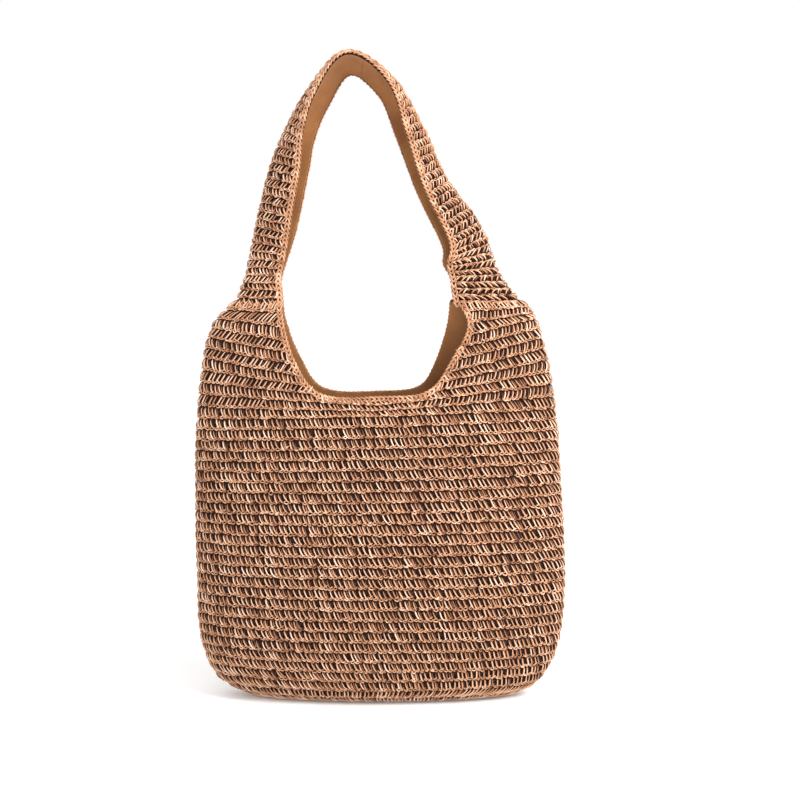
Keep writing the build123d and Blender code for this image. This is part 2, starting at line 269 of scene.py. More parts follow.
# %% The strap as a fabric
# fold's x and z (mm), heading (degrees from up), depth, half width (mm), tilt (degrees)
STATIONS = [
    (-146, 396, 0, 49, 7.8, 0), (-141.5, 412, 0, 43.5, 8.2, 0), (-135, 428, 2, 37, 9, 1),
    (-123, 486, 13, 40, 13, 16), (-108, 540, 15, 36, 15, 18), (-92.5, 573, 28, 26, 18, 20),
    (-70, 608, 42, 17, 22, 22), (-33, 642, 82, 10, 23, 24), (11, 619, 133, 14, 21, 22),
    (41, 574, 152, 25, 17, 20), (65, 524, 151, 31, 15, 18), (99, 478, 150, 43, 13, 20),
    (111, 449, 168, 50, 11, 12), (119, 428, 178, 51, 9, 1), (131, 412, 180, 61, 8.4, 0),
    (144, 396, 180, 71, 8, 0),
]
STRAP_STITCHES = 17
STRAP_ROW_H = 8.2 * MM
strap_line = smooth_line(STATIONS, 1600)
strap_run = np.concatenate([[0], np.cumsum(np.hypot(*np.diff(strap_line[:, :2], axis=0).T))])
STRAP_ROWS = int(round(strap_run[-1] / (STRAP_ROW_H / MM)))
print("strap length along its fold (mm):", round(float(strap_run[-1])), "rows:", STRAP_ROWS)


def strap_points(rows, inset, columns, margin=0.0):
    """For each row, half an oval in the band's own plane: its depth runs inwards from the
    fold and its width runs front to back. It starts at the back edge and ends at the
    front edge, each less the margin."""
    s = np.asarray(rows, float) / STRAP_ROWS * (len(strap_line) - 1)
    x, z, heading, depth, half, tilt = [
        np.interp(s, np.arange(len(strap_line)), strap_line[:, i])[:, None] for i in range(6)]
    psi = np.linspace(math.pi / 2, -math.pi / 2, 161)[None, :]
    inset_mm = np.asarray(inset / MM, float)
    trim = (margin / MM) / depth
    psi = psi * (1 - trim * 2 / math.pi)
    into = depth - (depth - inset_mm) * np.cos(psi)
    back = (half - inset_mm) * np.sin(psi)
    h, t = np.radians(heading), np.radians(tilt)
    inward = np.stack([np.cos(h) * np.cos(t), -np.sin(t), -np.sin(h) * np.cos(t)], axis=2)
    along = np.stack([np.sin(h), 0 * h, np.cos(h)], axis=2)
    across = np.cross(along, inward)
    fold = np.stack([x, depth / 2 * np.sin(t), z], axis=2)
    points = (fold + into[..., None] * inward + back[..., None] * across) * MM
    return evenly(points, columns)


ROWS_PER_COURSE = 4
strap_rows = np.arange(STRAP_ROWS * ROWS_PER_COURSE + 1) / ROWS_PER_COURSE
strap = Fabric(
    strap_points(strap_rows, YARN, STRAP_STITCHES * 2 + 1, 5.2 * MM), False,
    ROWS_PER_COURSE, 2)

# %% [markdown]
# A strand of straw is a tube along a short path. All strands of one kind have the same
# number of points, so thousands of them are one array, and the tube's rings come from the
# path's direction and the fabric's normal.

# %% From arrays of points to meshes
SIDES = 5


def mesh_object(name, points, *faces):
    """A mesh from an array of points and arrays of faces, each with its own number of
    corners, put in without a loop over them."""
    mesh = bpy.data.meshes.new(name)
    mesh.vertices.add(len(points))
    mesh.vertices.foreach_set("co", np.ascontiguousarray(points, np.float32).ravel())
    sizes = np.concatenate([np.full(len(f), f.shape[1]) for f in faces])
    corners = np.concatenate([f.ravel() for f in faces])
    mesh.loops.add(len(corners))
    mesh.loops.foreach_set("vertex_index", corners.astype(np.int32))
    mesh.polygons.add(len(sizes))
    mesh.polygons.foreach_set(
        "loop_start", np.concatenate([[0], np.cumsum(sizes)[:-1]]).astype(np.int32))
    mesh.update(calc_edges=True)
    mesh.polygons.foreach_set("use_smooth", np.ones(len(sizes), bool))
    made = bpy.data.objects.new(name, mesh)
    bpy.context.scene.collection.objects.link(made)
    return made


def tubes(paths, normals, radius, tone):
    """Rings of points round each path: at every path point, radius times the cosine along
    the sideways direction plus the sine along the normal, a little flattened."""
    strands, count = paths.shape[:2]
    t = np.gradient(paths, axis=1)
    t /= np.maximum(np.linalg.norm(t, axis=2, keepdims=True), 1e-9)
    n = normals - (normals * t).sum(2, keepdims=True) * t
    n /= np.maximum(np.linalg.norm(n, axis=2, keepdims=True), 1e-9)
    b = np.cross(t, n)
    turn = np.arange(SIDES) * 2 * math.pi / SIDES
    ring = (np.cos(turn)[:, None] * b[:, :, None] + 0.82 * np.sin(turn)[:, None] * n[:, :, None])
    points = paths[:, :, None] + radius[..., None, None] * ring
    at = np.arange(strands * count * SIDES).reshape(strands, count, SIDES)
    nxt = np.roll(at, -1, axis=2)
    quads = np.stack([at[:, :-1], at[:, 1:], nxt[:, 1:], nxt[:, :-1]], axis=3).reshape(-1, 4)
    caps = np.concatenate([at[:, 0], at[:, -1, ::-1]])
    tones = np.repeat(np.broadcast_to(tone, (strands, count)).ravel(), SIDES)
    return points.reshape(-1, 3), quads, caps, tones


def strands_object(name, batches, material):
    """Several batches of tubes as one object, with each point's tone kept as an attribute
    that the material reads."""
    points, quads, caps, tones, base = [], [], [], [], 0
    for p, q, c, t in batches:
        points.append(p), quads.append(q + base), caps.append(c + base), tones.append(t)
        base += len(p)
    made = mesh_object(name, np.concatenate(points), np.concatenate(quads), np.concatenate(caps))
    tone = made.data.attributes.new("tone", "FLOAT", "POINT")
    tone.data.foreach_set("value", np.concatenate(tones).astype(np.float32))
    made.data.materials.append(material)
    return made


# %% [markdown]
# Straw yarn is a strip of paper twisted into a round strand. It is matt with a faint
# sheen, and its colour drifts from one length to the next; down between the stitches it is
# dark with painted shade. The material reads the tone kept on each strand, painted light and
# shade included, and adds fine fibres along it.

# %% Colours and materials
def linear(hex_colour):
    """A colour as the eye reads it on a screen, turned to light: each part to the power of
    about 2.4 after a small straight start."""
    parts = [int(hex_colour[i:i + 2], 16) / 255 for i in (0, 2, 4)]
    return tuple(
        v / 12.92 if v <= 0.04045 else ((v + 0.055) / 1.055) ** 2.4 for v in parts) + (1.0,)


def add_node(tree, kind, settings=(), links=()):
    """One node with its settings, and its inputs joined to other nodes' outputs."""
    made = tree.nodes.new(kind)
    for key, value in dict(settings).items():
        if isinstance(key, str) and hasattr(made, key):
            setattr(made, key, value)
        else:
            made.inputs[key].default_value = value
    for key, source in dict(links).items():
        tree.links.new(source, made.inputs[key])
    return made


def ramp(tree, source, stops):
    """Colours read off a line of stops by the source's value."""
    made = add_node(tree, "ShaderNodeValToRGB", {}, {"Fac": source})
    while len(made.color_ramp.elements) < len(stops):
        made.color_ramp.elements.new(0.5)
    for element, (place, colour) in zip(made.color_ramp.elements, stops):
        element.position, element.color = place, linear(colour)
    return made.outputs["Color"]


def new_material(name):
    made = bpy.data.materials.new(name)
    made.use_nodes = True
    tree = made.node_tree
    return made, tree, tree.nodes["Principled BSDF"]


def straw(name, stops, roughness=0.58):
    """Tone from the strand, which carries painted light and shade by lift, mixed with blotches
    about 12 mm across and fibres about half a millimetre across, read off a ramp; the fibres
    also raise the surface."""
    made, tree, skin = new_material(name)
    place = add_node(tree, "ShaderNodeTexCoord").outputs["Object"]
    tone = add_node(tree, "ShaderNodeAttribute", {"attribute_name": "tone"}).outputs["Fac"]
    blotch = add_node(
        tree, "ShaderNodeTexNoise", {"Scale": 80.0, "Detail": 2.0}, {"Vector": place})
    fibre = add_node(
        tree, "ShaderNodeTexNoise", {"Scale": 1900.0, "Detail": 2.0}, {"Vector": place})
    shift = add_node(
        tree, "ShaderNodeMath", {"operation": "MULTIPLY_ADD", 1: 0.35},
        {0: blotch.outputs["Fac"], 2: tone})
    value = add_node(
        tree, "ShaderNodeMath", {"operation": "MULTIPLY_ADD", 1: 0.30},
        {0: fibre.outputs["Fac"], 2: shift.outputs[0]})
    settled = add_node(
        tree, "ShaderNodeMath", {"operation": "SUBTRACT", 1: 0.325}, {0: value.outputs[0]})
    tree.links.new(ramp(tree, settled.outputs[0], stops), skin.inputs["Base Color"])
    bump = add_node(
        tree, "ShaderNodeBump", {"Strength": 0.35, "Distance": 0.15 * MM},
        {"Height": fibre.outputs["Fac"]})
    tree.links.new(bump.outputs["Normal"], skin.inputs["Normal"])
    skin.inputs["Roughness"].default_value = roughness
    skin.inputs["Sheen Weight"].default_value = 0.1
    return made


# The darkest stops are reached by painted shade on deep strands and the lightest by painted light
# on raised ones; between lie the straw's own browns.
STRAW_STOPS = [
    (0.0, "1a0501"), (0.28, "542a16"), (0.5, "9e6642"), (0.72, "d29c75"), (1.0, "f9d5ba")]
straw_yarn = straw("twisted_paper_straw", STRAW_STOPS)
straw_edge = straw("paper_straw_edging", STRAW_STOPS, 0.55)
print("straw materials made")

# %% [markdown]
# One stitch, seen from the front, leans like a backslash: its post runs from the upper left
# down to the right and then bends along the round. A second, thinner strand lies beside it,
# a loop and a crossing strand make the band at its foot, and a deep strand crosses behind.
# The post and the band are lighter with painted light where they stand up; the second strand
# and the deep one are darker with painted shade. In the shoulders the work goes back and
# forth, so the lean changes from one row to the next. The second round up from the floor
# leans the other way too.

# %% The stitch
# each strand: (stitches across, rounds up, lift in mm) for every point; radius mm; tone.
# The low tones of SECOND and BEHIND are painted shade, for strands that lie deep.
POST = ([(-0.44, 1.02, -0.9), (-0.34, 0.87, 0.8), (-0.17, 0.66, 1.5), (0.05, 0.45, 1.7),
         (0.30, 0.27, 1.2), (0.62, 0.18, 0.3)], 0.66, 0.66)
SECOND = ([(-0.06, 0.93, -0.9), (0.06, 0.70, -0.1), (0.24, 0.47, 0.7), (0.52, 0.30, 0.4)],
          0.50, 0.44)
LOOP = ([(-0.58, 0.32, -0.1), (-0.22, 0.13, 1.1), (0.18, 0.08, 1.2), (0.58, 0.22, 0.0)],
        0.64, 0.64)
CROSS = ([(-0.46, 0.12, 0.0), (-0.02, 0.29, 1.5), (0.46, 0.40, 0.4)], 0.54, 0.66)
BEHIND = ([(0.45, 0.92, -1.3), (0.10, 0.55, -0.9), (-0.35, 0.22, -1.2)], 0.70, 0.14)
STITCH = (POST, SECOND, LOOP, CROSS, BEHIND)
# Painted light and shade: strands are made lighter where they stand up more than 0.8 mm, darker
# where lower.
PAINTED_SHADE_PER_MM = 0.11  # a strand is this much lighter for each mm that it stands up
print("strands in a stitch:", len(STITCH))


def stitches(fabric, rows, cols, lean=1.0):
    """The strands of a stitch at each place on the fabric: every template point is added to
    the place, mirrored where lean is -1, shifted by a little chance, and laid on the
    fabric at its lift. The radius and the tone get their own chance too."""
    rows, cols = np.asarray(rows, float), np.asarray(cols, float)
    lean = np.broadcast_to(lean, rows.shape)
    drift = chance.normal(0, 1, (3, len(rows)))
    batches = []
    for shape, radius, tone in STITCH:
        shape = np.array(shape)
        own = chance.normal(0, 1, (4, len(rows)))
        squeeze = 1 + 0.16 * own[0]
        col = cols[:, None] + lean[:, None] * shape[:, 0] * squeeze[:, None]
        col = col + (0.09 * drift[0] + 0.10 * own[1])[:, None]
        row = rows[:, None] + shape[:, 1] + (0.03 * drift[1] + 0.035 * own[2])[:, None]
        lift = (shape[:, 2] + (0.15 * drift[2] + 0.12 * own[3])[:, None]) * MM
        path, normal = fabric.at(row, col, lift)
        size = radius * MM * (1 + 0.12 * own[3])[:, None] * np.ones(len(shape))
        size[:, 0] *= 0.85
        size[:, -1] *= 0.85
        # Each strand's tone gets chance, then painted light where it stands up and painted shade
        # where it lies deep.
        shade = tone + 0.10 * own[1][:, None] + 0.06 * drift[0][:, None]
        shade = shade + PAINTED_SHADE_PER_MM * (shape[:, 2] - 0.8)
        batches.append(tubes(path, normal, size, shade))
    return batches


# %% [markdown]
# Places for the wall's stitches: every round and every stitch, less those that fall in the
# mouth. Where the place is decides which way the stitch leans.

# %% The wall in rounds
FRONT_CLEAR, BACK_CLEAR = 3.6 * MM, 4.4 * MM  # no stitch's middle is nearer to the mouth
front_open = scoop_outline(FRONT_SCOOP, FRONT_CLEAR)
back_open = scoop_outline(BACK_SCOOP, BACK_CLEAR)
SCOOP_FLOOR = 300 * MM
TURNED_ROUND = 1  # counted from 0 at the floor
rows, cols = [a.ravel().astype(float) for a in np.meshgrid(
    np.arange(rounds), np.arange(ROUND_STITCHES), indexing="ij")]
place, _ = wall.at(rows + 0.5, cols, np.zeros(len(rows)))
in_front = place[:, 1] < 0
gone = np.where(in_front, inside(front_open, place[:, 0], place[:, 2]),
                inside(back_open, place[:, 0], place[:, 2]))
turned = ((place[:, 2] > SCOOP_FLOOR) & (rows % 2 == 1)) | (rows == TURNED_ROUND)
lean = np.where(turned, -1.0, 1.0)
ROUNDS_PER_PIECE = 5
wall_pieces = []
for first in range(0, rounds, ROUNDS_PER_PIECE):
    use = (rows >= first) & (rows < first + ROUNDS_PER_PIECE) & ~gone
    piece = strands_object(
        f"wall_rounds_{first + 1:02d}", stitches(wall, rows[use], cols[use], lean[use]),
        straw_yarn)
    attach(piece, "bag")
    wall_pieces.append(piece)
print("stitches in the wall:", int((~gone).sum()), "pieces:", len(wall_pieces))

# %% [markdown]
# The base starts from a straight chain and goes round it in ovals.

# %% The oval base
BASE_CHAIN = 92 * MM
BASE_HALF_W = 30 * MM
BASE_ROUNDS = 3
BASE_STITCHES = 76
BASE_Z = 2.6 * MM


def base_points(shares, z, columns):
    """Flat ovals: half the chain plus a share of the base's half width along X, and that
    share along Y. They run clockwise seen from above, so their normals point down."""
    turn = np.linspace(0, 2 * math.pi, 361)[None, :]
    r = np.asarray(shares)[:, None] * BASE_HALF_W
    points = np.stack([
        (BASE_CHAIN + r) * np.sin(turn), -r * np.cos(turn), 0 * turn * r + z], axis=2)
    return evenly(points, columns, closed=True)


base = Fabric(
    base_points(np.linspace(0.03, 1.0, BASE_ROUNDS * 4 + 1), BASE_Z, BASE_STITCHES), True, 4)
b_rows, b_cols = [a.ravel().astype(float) for a in np.meshgrid(
    np.arange(BASE_ROUNDS), np.arange(BASE_STITCHES), indexing="ij")]
base_piece = strands_object(
    "base_rounds", stitches(base, b_rows, b_cols), straw_yarn)
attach(base_piece, "bag")
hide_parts("crochet_base")
print("stitches in the base:", len(b_rows))

# %% [markdown]
# Crochet is two or three strands deep. The straw behind the strands that show lies in their
# shadow; it is made as a thin closed skin, dark with painted shade, so that no light comes
# through where it should not.

# %% Straw in the shade behind the stitches
# Painted shade: near-black browns with random flecks, for straw lying in the stitches' shadow.
shade_straw, tree, skin = new_material("straw_in_the_shade")
place_out = add_node(tree, "ShaderNodeTexCoord").outputs["Object"]
fleck = add_node(
    tree, "ShaderNodeTexNoise", {"Scale": 700.0, "Detail": 3.0}, {"Vector": place_out})
tree.links.new(
    ramp(tree, fleck.outputs["Fac"], [(0.35, "140602"), (0.62, "3a1c0e")]),
    skin.inputs["Base Color"])
skin.inputs["Roughness"].default_value = 0.85
skin.inputs["Specular IOR Level"].default_value = 0.2


def skin_between(name, outer, inner, closed):
    """A closed skin from two grids of the same size: the outer one, the inner one turned
    over, and strips that join their borders."""
    rows_n, cols_n = outer.shape[:2]
    at = np.arange(rows_n * cols_n).reshape(rows_n, cols_n)
    right = np.roll(at, -1, axis=1) if closed else at[:, 1:]
    left = at if closed else at[:, :-1]
    outside = np.stack([left[:-1], right[:-1], right[1:], left[1:]], axis=2).reshape(-1, 4)
    over = rows_n * cols_n
    inner_side = outside[:, ::-1] + over
    low = np.stack([left[0] + over, right[0] + over, right[0], left[0]], axis=1)
    high = np.stack([left[-1], right[-1], right[-1] + over, left[-1] + over], axis=1)
    parts = [outside, inner_side, low, high]
    if not closed:
        for side_a, side_b in ((at[:-1, 0], at[1:, 0]), (at[1:, -1], at[:-1, -1])):
            parts.append(np.stack([side_a, side_b, side_b + over, side_a + over], axis=1))
    return mesh_object(
        name, np.concatenate([outer.reshape(-1, 3), inner.reshape(-1, 3)]), np.concatenate(parts))


def prism(outline, near, far):
    """A solid with the outline as its front and back, used only to cut with."""
    count = len(outline)
    ring = np.arange(count)
    points = np.concatenate([
        np.stack([outline[:, 0], np.full(count, y), outline[:, 1]], axis=1) for y in (near, far)])
    nxt = np.roll(ring, -1)
    made = mesh_object(
        "cutter", points, np.stack([ring, nxt, nxt + count, ring + count], axis=1),
        ring[None, ::-1], ring[None] + count)
    shape = bmesh.new()
    shape.from_mesh(made.data)
    bmesh.ops.recalc_face_normals(shape, faces=shape.faces)
    shape.to_mesh(made.data)
    shape.free()
    return made


def cut(piece, *cutters):
    """The piece less each cutter's solid, worked out exactly and kept in its mesh."""
    for cutter in cutters:
        modifier = piece.modifiers.new("cut", "BOOLEAN")
        modifier.operation, modifier.solver, modifier.object = "DIFFERENCE", "EXACT", cutter
    graph = bpy.context.evaluated_depsgraph_get()
    result = bpy.data.meshes.new_from_object(piece.evaluated_get(graph))
    piece.modifiers.clear()
    piece.data = result
    for cutter in cutters:
        bpy.data.objects.remove(cutter)
    return piece


skin_heights = np.unique(np.concatenate([
    np.linspace(0, 0.03, 12), np.linspace(0.03, SHOULDER_TOP, 90)]))


def with_base(inset, rise):
    """The base's flat ovals and then the wall's, as one grid from the middle outwards."""
    columns = 240
    wall_part = wall_points(skin_heights, inset, columns, rise=rise)
    shares = np.linspace(0.02, 0.94, 8)[:, None, None]
    first = wall_part[0]
    middle = np.stack([
        np.clip(first[:, 0], -BASE_CHAIN, BASE_CHAIN), 0 * first[:, 1], first[:, 2]], axis=1)
    return np.concatenate([middle + (first - middle) * shares, wall_part])


# The straw behind the wall's and the base's stitches, dark with painted shade.
wall_shade_skin = skin_between(
    "wall_straw_painted_shade", with_base(SHADE[0], 3.4 * MM), with_base(SHADE[1], 4.1 * MM), True)
wall_shade_skin = cut(
    wall_shade_skin, prism(scoop_outline(FRONT_SCOOP, 0.5 * MM), 0.0, -0.2),
    prism(scoop_outline(BACK_SCOOP, 0.5 * MM), 0.0, 0.2))
wall_shade_skin.data.materials.clear()
wall_shade_skin.data.materials.append(shade_straw)
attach(wall_shade_skin, "bag")
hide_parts("crochet_body")
print("backing faces:", len(wall_shade_skin.data.polygons))

# %% [markdown]
# The strap is crocheted in the same stitch across its width, so its rows lie across the
# band. Close to each shoulder the fabric bends at the fold line of the strap, so the rows
# there are separate pieces, fixed where they are made and tied to neither the bag nor the strap.

# %% The strap's rows
row_place = np.arange(STRAP_ROWS) / STRAP_ROWS * (len(strap_line) - 1)
row_z = strap_line[row_place.astype(int), 1]
first_strap = int(np.argmax(row_z > STRAP_FOOT / MM))
last_strap = STRAP_ROWS - int(np.argmax(row_z[::-1] > STRAP_FOOT / MM))
print("strap rows from", first_strap, "to", last_strap)


def strap_stitches(low, high):
    r, c = [a.ravel().astype(float) for a in np.meshgrid(
        np.arange(low, high), np.arange(STRAP_STITCHES) + 0.5, indexing="ij")]
    return stitches(strap, r, c, np.where(r % 2 == 1, -1.0, 1.0))


def follow(piece, joined):
    """The piece rides on the strap, or, across the fold line, has its place baked into its mesh and
    rides on no body.
    """
    if joined:
        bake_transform(piece)
    else:
        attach(piece, "strap")
    return piece


STRETCHES = (
    ("left_join", 0, first_strap, True), ("left_leg", first_strap, STRAP_ROWS // 2, False),
    ("right_leg", STRAP_ROWS // 2, last_strap, False), ("right_join", last_strap, STRAP_ROWS, True))
for name, low, high, joined in STRETCHES:
    piece = strands_object(
        f"strap_rows_{name}", strap_stitches(low, high), straw_yarn)
    follow(piece, joined)
    fine = np.linspace(low, high, (high - low) * 4 + 1)
    # The straw behind the strap's stitches, dark with painted shade.
    backing = skin_between(
        f"strap_straw_painted_shade_{name}", strap_points(fine, STRAP_SHADE[0], 61, 0.9 * MM),
        strap_points(fine, STRAP_SHADE[1], 61, 0.9 * MM), False)
    backing.data.materials.append(shade_straw)
    follow(backing, joined)
    if name == "left_leg":
        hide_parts("strap_crochet")
    if joined:
        side = name.split("_")[0]
        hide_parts(f"shoulder_seam_{side}", f"strap_lashing_{side}")

# %% [markdown]
# The edging is a chain: each link is a V of two strands whose point slips under the next
# link. It follows the mouth on the wall's surface, and the strap's two long edges.

# %% The slip-stitch edging
LINK = 4.6 * MM
ARM = np.array([(0.0, 0.46, 0.1), (0.35, 0.50, 1.0), (0.80, 0.34, 1.5), (1.20, 0.12, 1.2),
                (1.45, 0.02, 0.2)])


def chain(line, normal, width=4.6 * MM, tone=0.66):
    """Links evenly spaced along a line on a surface. Each arm's points are so many links
    forward, a share of the width to one side, and a lift in mm along the normal."""
    step = np.linalg.norm(np.diff(line, axis=0), axis=1)
    run = np.concatenate([[0], np.cumsum(step)])
    count = max(int(run[-1] / LINK), 2)
    starts = (np.arange(count) - 0.2)[:, None]
    batches = []
    own = chance.normal(0, 1, (2, count, 1))
    for way in (1, -1):
        s = (starts + ARM[:, 0] + 0.04 * own[0]) * run[-1] / count
        here = np.stack([np.interp(s, run, line[:, i]) for i in range(3)], axis=2)
        up = np.stack([np.interp(s, run, normal[:, i]) for i in range(3)], axis=2)
        ahead = np.stack([np.interp(s + 1 * MM, run, line[:, i])
                          - np.interp(s - 1 * MM, run, line[:, i]) for i in range(3)], axis=2)
        ahead /= np.maximum(np.linalg.norm(ahead, axis=2, keepdims=True), 1e-9)
        up -= (up * ahead).sum(2, keepdims=True) * ahead
        up /= np.linalg.norm(up, axis=2, keepdims=True)
        side = np.cross(up, ahead)
        path = here + side * (way * width * ARM[:, 1])[None, :, None] \
            + up * (ARM[:, 2] * MM)[None, :, None]
        radius = np.full(path.shape[:2], 1.0 * MM) * (1 + 0.06 * own[1])
        batches.append(tubes(path, up, radius, tone + 0.07 * own[0]))
    return batches


def on_wall(outline, way, inset):
    """Points of the outline put on the wall's front or back: the depth is the oval's at
    that x and height, and the normal is the oval's own."""
    line = outline[:-2]
    line = line[line[:, 1] < SHOULDER_TOP + 1 * MM]
    a, b, side = oval_at(line[:, 1])
    share = (line[:, 0] - side) / (a - inset)
    y = way * (b - inset) * np.sqrt(np.clip(1 - share ** 2, 0, 1))
    normal = np.stack([share / a, y / (b * b), 0.2 * np.abs(y / (b * b))], axis=1)
    return np.stack([line[:, 0], y, line[:, 1]], axis=1), \
        normal / np.linalg.norm(normal, axis=1, keepdims=True)


for name, points, way in (("front", FRONT_SCOOP, -1), ("back", BACK_SCOOP, 1)):
    line, normal = on_wall(scoop_outline(points, 3.0 * MM), way, CHAIN)
    piece = strands_object(f"edging_chain_{name}", chain(line, normal), straw_edge)
    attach(piece, "bag")
    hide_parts(f"mouth_edging_{name}")

for name, low, high, joined in STRETCHES:
    for edge, column in (("front", -1), ("back", 0)):
        fine = np.linspace(low, high, (high - low) * 6 + 1)
        grid = strap_points(fine, 2.0 * MM, 81, 3.3 * MM)
        piece = strands_object(
            f"strap_chain_{edge}_{name}",
            chain(grid[:, column], normals_of(grid, False)[:, column]), straw_edge)
        follow(piece, joined)
        if name == "left_leg":
            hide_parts(f"strap_edging_{edge}")
print("edging made")

# %% [markdown]
# The lining is plain woven cotton, sewn in loosely. It is one warm tan, with threads under
# half a millimetre wide and soft creases where there is more cloth than wall.

# %% The lining cloth
def cloth(name, dark, light, threads_mm, roughness, sheen):
    """Two sets of threads as waves along X and Z, multiplied, over blotches that make the
    dye uneven; the threads and wider creases raise the surface. One wave is about twice as
    long as a thread is wide."""
    made, tree, skin = new_material(name)
    place = add_node(tree, "ShaderNodeTexCoord").outputs["Object"]
    waves = [add_node(
        tree, "ShaderNodeTexWave",
        {"wave_type": "BANDS", "bands_direction": way,
         "Scale": 1 / (threads_mm * MM) / 3.14 / 2, "Distortion": 0.6},
        {"Vector": place}) for way in ("X", "Z")]
    weave = add_node(
        tree, "ShaderNodeMath", {"operation": "MULTIPLY"},
        {0: waves[0].outputs["Fac"], 1: waves[1].outputs["Fac"]})
    blotch = add_node(
        tree, "ShaderNodeTexNoise", {"Scale": 28.0, "Detail": 3.0}, {"Vector": place})
    mixed = add_node(
        tree, "ShaderNodeMath", {"operation": "MULTIPLY_ADD", 1: 0.25},
        {0: weave.outputs[0], 2: blotch.outputs["Fac"]})
    tree.links.new(
        ramp(tree, mixed.outputs[0], [(0.35, dark), (0.75, light)]), skin.inputs["Base Color"])
    crease = add_node(
        tree, "ShaderNodeBump", {"Strength": 0.5, "Distance": 1.2 * MM},
        {"Height": blotch.outputs["Fac"]})
    bump = add_node(
        tree, "ShaderNodeBump", {"Strength": 0.4, "Distance": 0.12 * MM},
        {"Height": weave.outputs[0], "Normal": crease.outputs["Normal"]})
    tree.links.new(bump.outputs["Normal"], skin.inputs["Normal"])
    skin.inputs["Roughness"].default_value = roughness
    skin.inputs["Sheen Weight"].default_value = sheen
    skin.inputs["Sheen Roughness"].default_value = 0.5
    return made


lining_cotton = cloth("tan_cotton_lining", "8a572d", "a56f3e", 0.45, 0.8, 0.06)
zip_tape_cloth = cloth("woven_zip_tape", "6f4a2e", "8d6240", 0.8, 0.75, 0.1)


def creases(points, depth):
    """Soft folds: a few slow sine waves of the place, summed, move each point along Y."""
    x, z = points[..., 0], points[..., 2]
    fold = (np.sin(x * 70 + np.sin(z * 40) * 1.5) + 0.6 * np.sin(z * 55 + x * 24)
            + 0.4 * np.sin(x * 160 - z * 90))
    moved = points.copy()
    moved[..., 1] += depth * fold / 2 * np.sign(points[..., 1]) * -1
    return moved


lining_heights = np.linspace(BASE_TURN, SHOULDER_TOP - 1 * MM, 110)
for name, points, span, y_far in (
        ("front", FRONT_SCOOP, (-0.25, 0.25), -0.2), ("back", BACK_SCOOP, (0.25, 0.75), 0.2)):
    outer, inner = [
        creases(wall_points(lining_heights, depth, 150, span=span, closed=False), 0.35 * MM)
        for depth in CLOTH]
    panel = skin_between(f"lining_cloth_{name}", outer, inner, False)
    panel = cut(panel, prism(scoop_outline(points, 0.4 * MM), y_far * -0.05, y_far))
    panel.data.materials.clear()
    panel.data.materials.append(lining_cotton)
    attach(panel, "bag")
    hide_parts(f"lining_{name}_panel")

low_heights = np.linspace(0, BASE_TURN, 14)


def floor_panel(inset, rise):
    wall_part = wall_points(low_heights, inset, 160, rise=rise)
    first = wall_part[0]
    shares = np.linspace(0.02, 0.94, 10)[:, None, None]
    middle = np.stack([
        np.clip(first[:, 0], -BASE_CHAIN, BASE_CHAIN), 0 * first[:, 1], first[:, 2]], axis=1)
    return np.concatenate([middle + (first - middle) * shares, wall_part])


floor_cloth = skin_between(
    "lining_cloth_base", floor_panel(CLOTH[0], 4.6 * MM), floor_panel(CLOTH[1], 5.4 * MM), True)
floor_cloth.data.materials.append(lining_cotton)
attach(floor_cloth, "bag")
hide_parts("lining_base_panel")

for name, low, high, joined in STRETCHES:
    fine = np.linspace(low, high, (high - low) * 6 + 1)
    panel = skin_between(
        f"strap_lining_{name}",
        creases(strap_points(fine, STRAP_CLOTH[0], 81, 0.7 * MM), 0.25 * MM),
        creases(strap_points(fine, STRAP_CLOTH[1], 81, 0.7 * MM), 0.25 * MM), False)
    panel.data.materials.append(lining_cotton)
    follow(panel, joined)
    if name == "left_leg":
        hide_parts("strap_lining")
print("lining made")

# %% [markdown]
# Inside hang a flat pouch with a zip and, at the mouth, the two halves of a snap on sewn
# patches. The soft ones are made again here with creases and stitching; the metal ones
# keep their CAD shape and get a finish.

# %% The pouch, its header, the patches and the zip's tapes
def soft_copy(node, name, material, slot_name, depth, fine):
    """The node's own shape with its long edges divided and its points moved by a few sine
    waves of their place, like cloth that is not quite flat."""
    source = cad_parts[node]
    made = bpy.data.objects.new(name, source.data.copy())
    bpy.context.scene.collection.objects.link(made)
    shape = bmesh.new()
    shape.from_mesh(made.data)
    bmesh.ops.remove_doubles(shape, verts=shape.verts, dist=0.02 * MM)
    for _ in range(4):
        long_edges = [e for e in shape.edges if e.calc_length() > fine]
        if not long_edges:
            break
        bmesh.ops.subdivide_edges(shape, edges=long_edges, cuts=1)
    bmesh.ops.triangulate(shape, faces=shape.faces)
    bmesh.ops.recalc_face_normals(shape, faces=shape.faces)
    shape.to_mesh(made.data)
    shape.free()
    count = len(made.data.vertices)
    co = np.empty(count * 3, np.float32)
    made.data.vertices.foreach_get("co", co)
    co = co.reshape(-1, 3)
    x, z = co[:, 0], co[:, 2]
    co[:, 1] += depth * (np.sin(x * 95 + z * 60) + np.sin(z * 130 - x * 35)) / 2
    made.data.vertices.foreach_set("co", co.ravel())
    made.data.materials.clear()
    made.data.materials.append(material)
    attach(made, "bag")
    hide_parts(node)
    return made


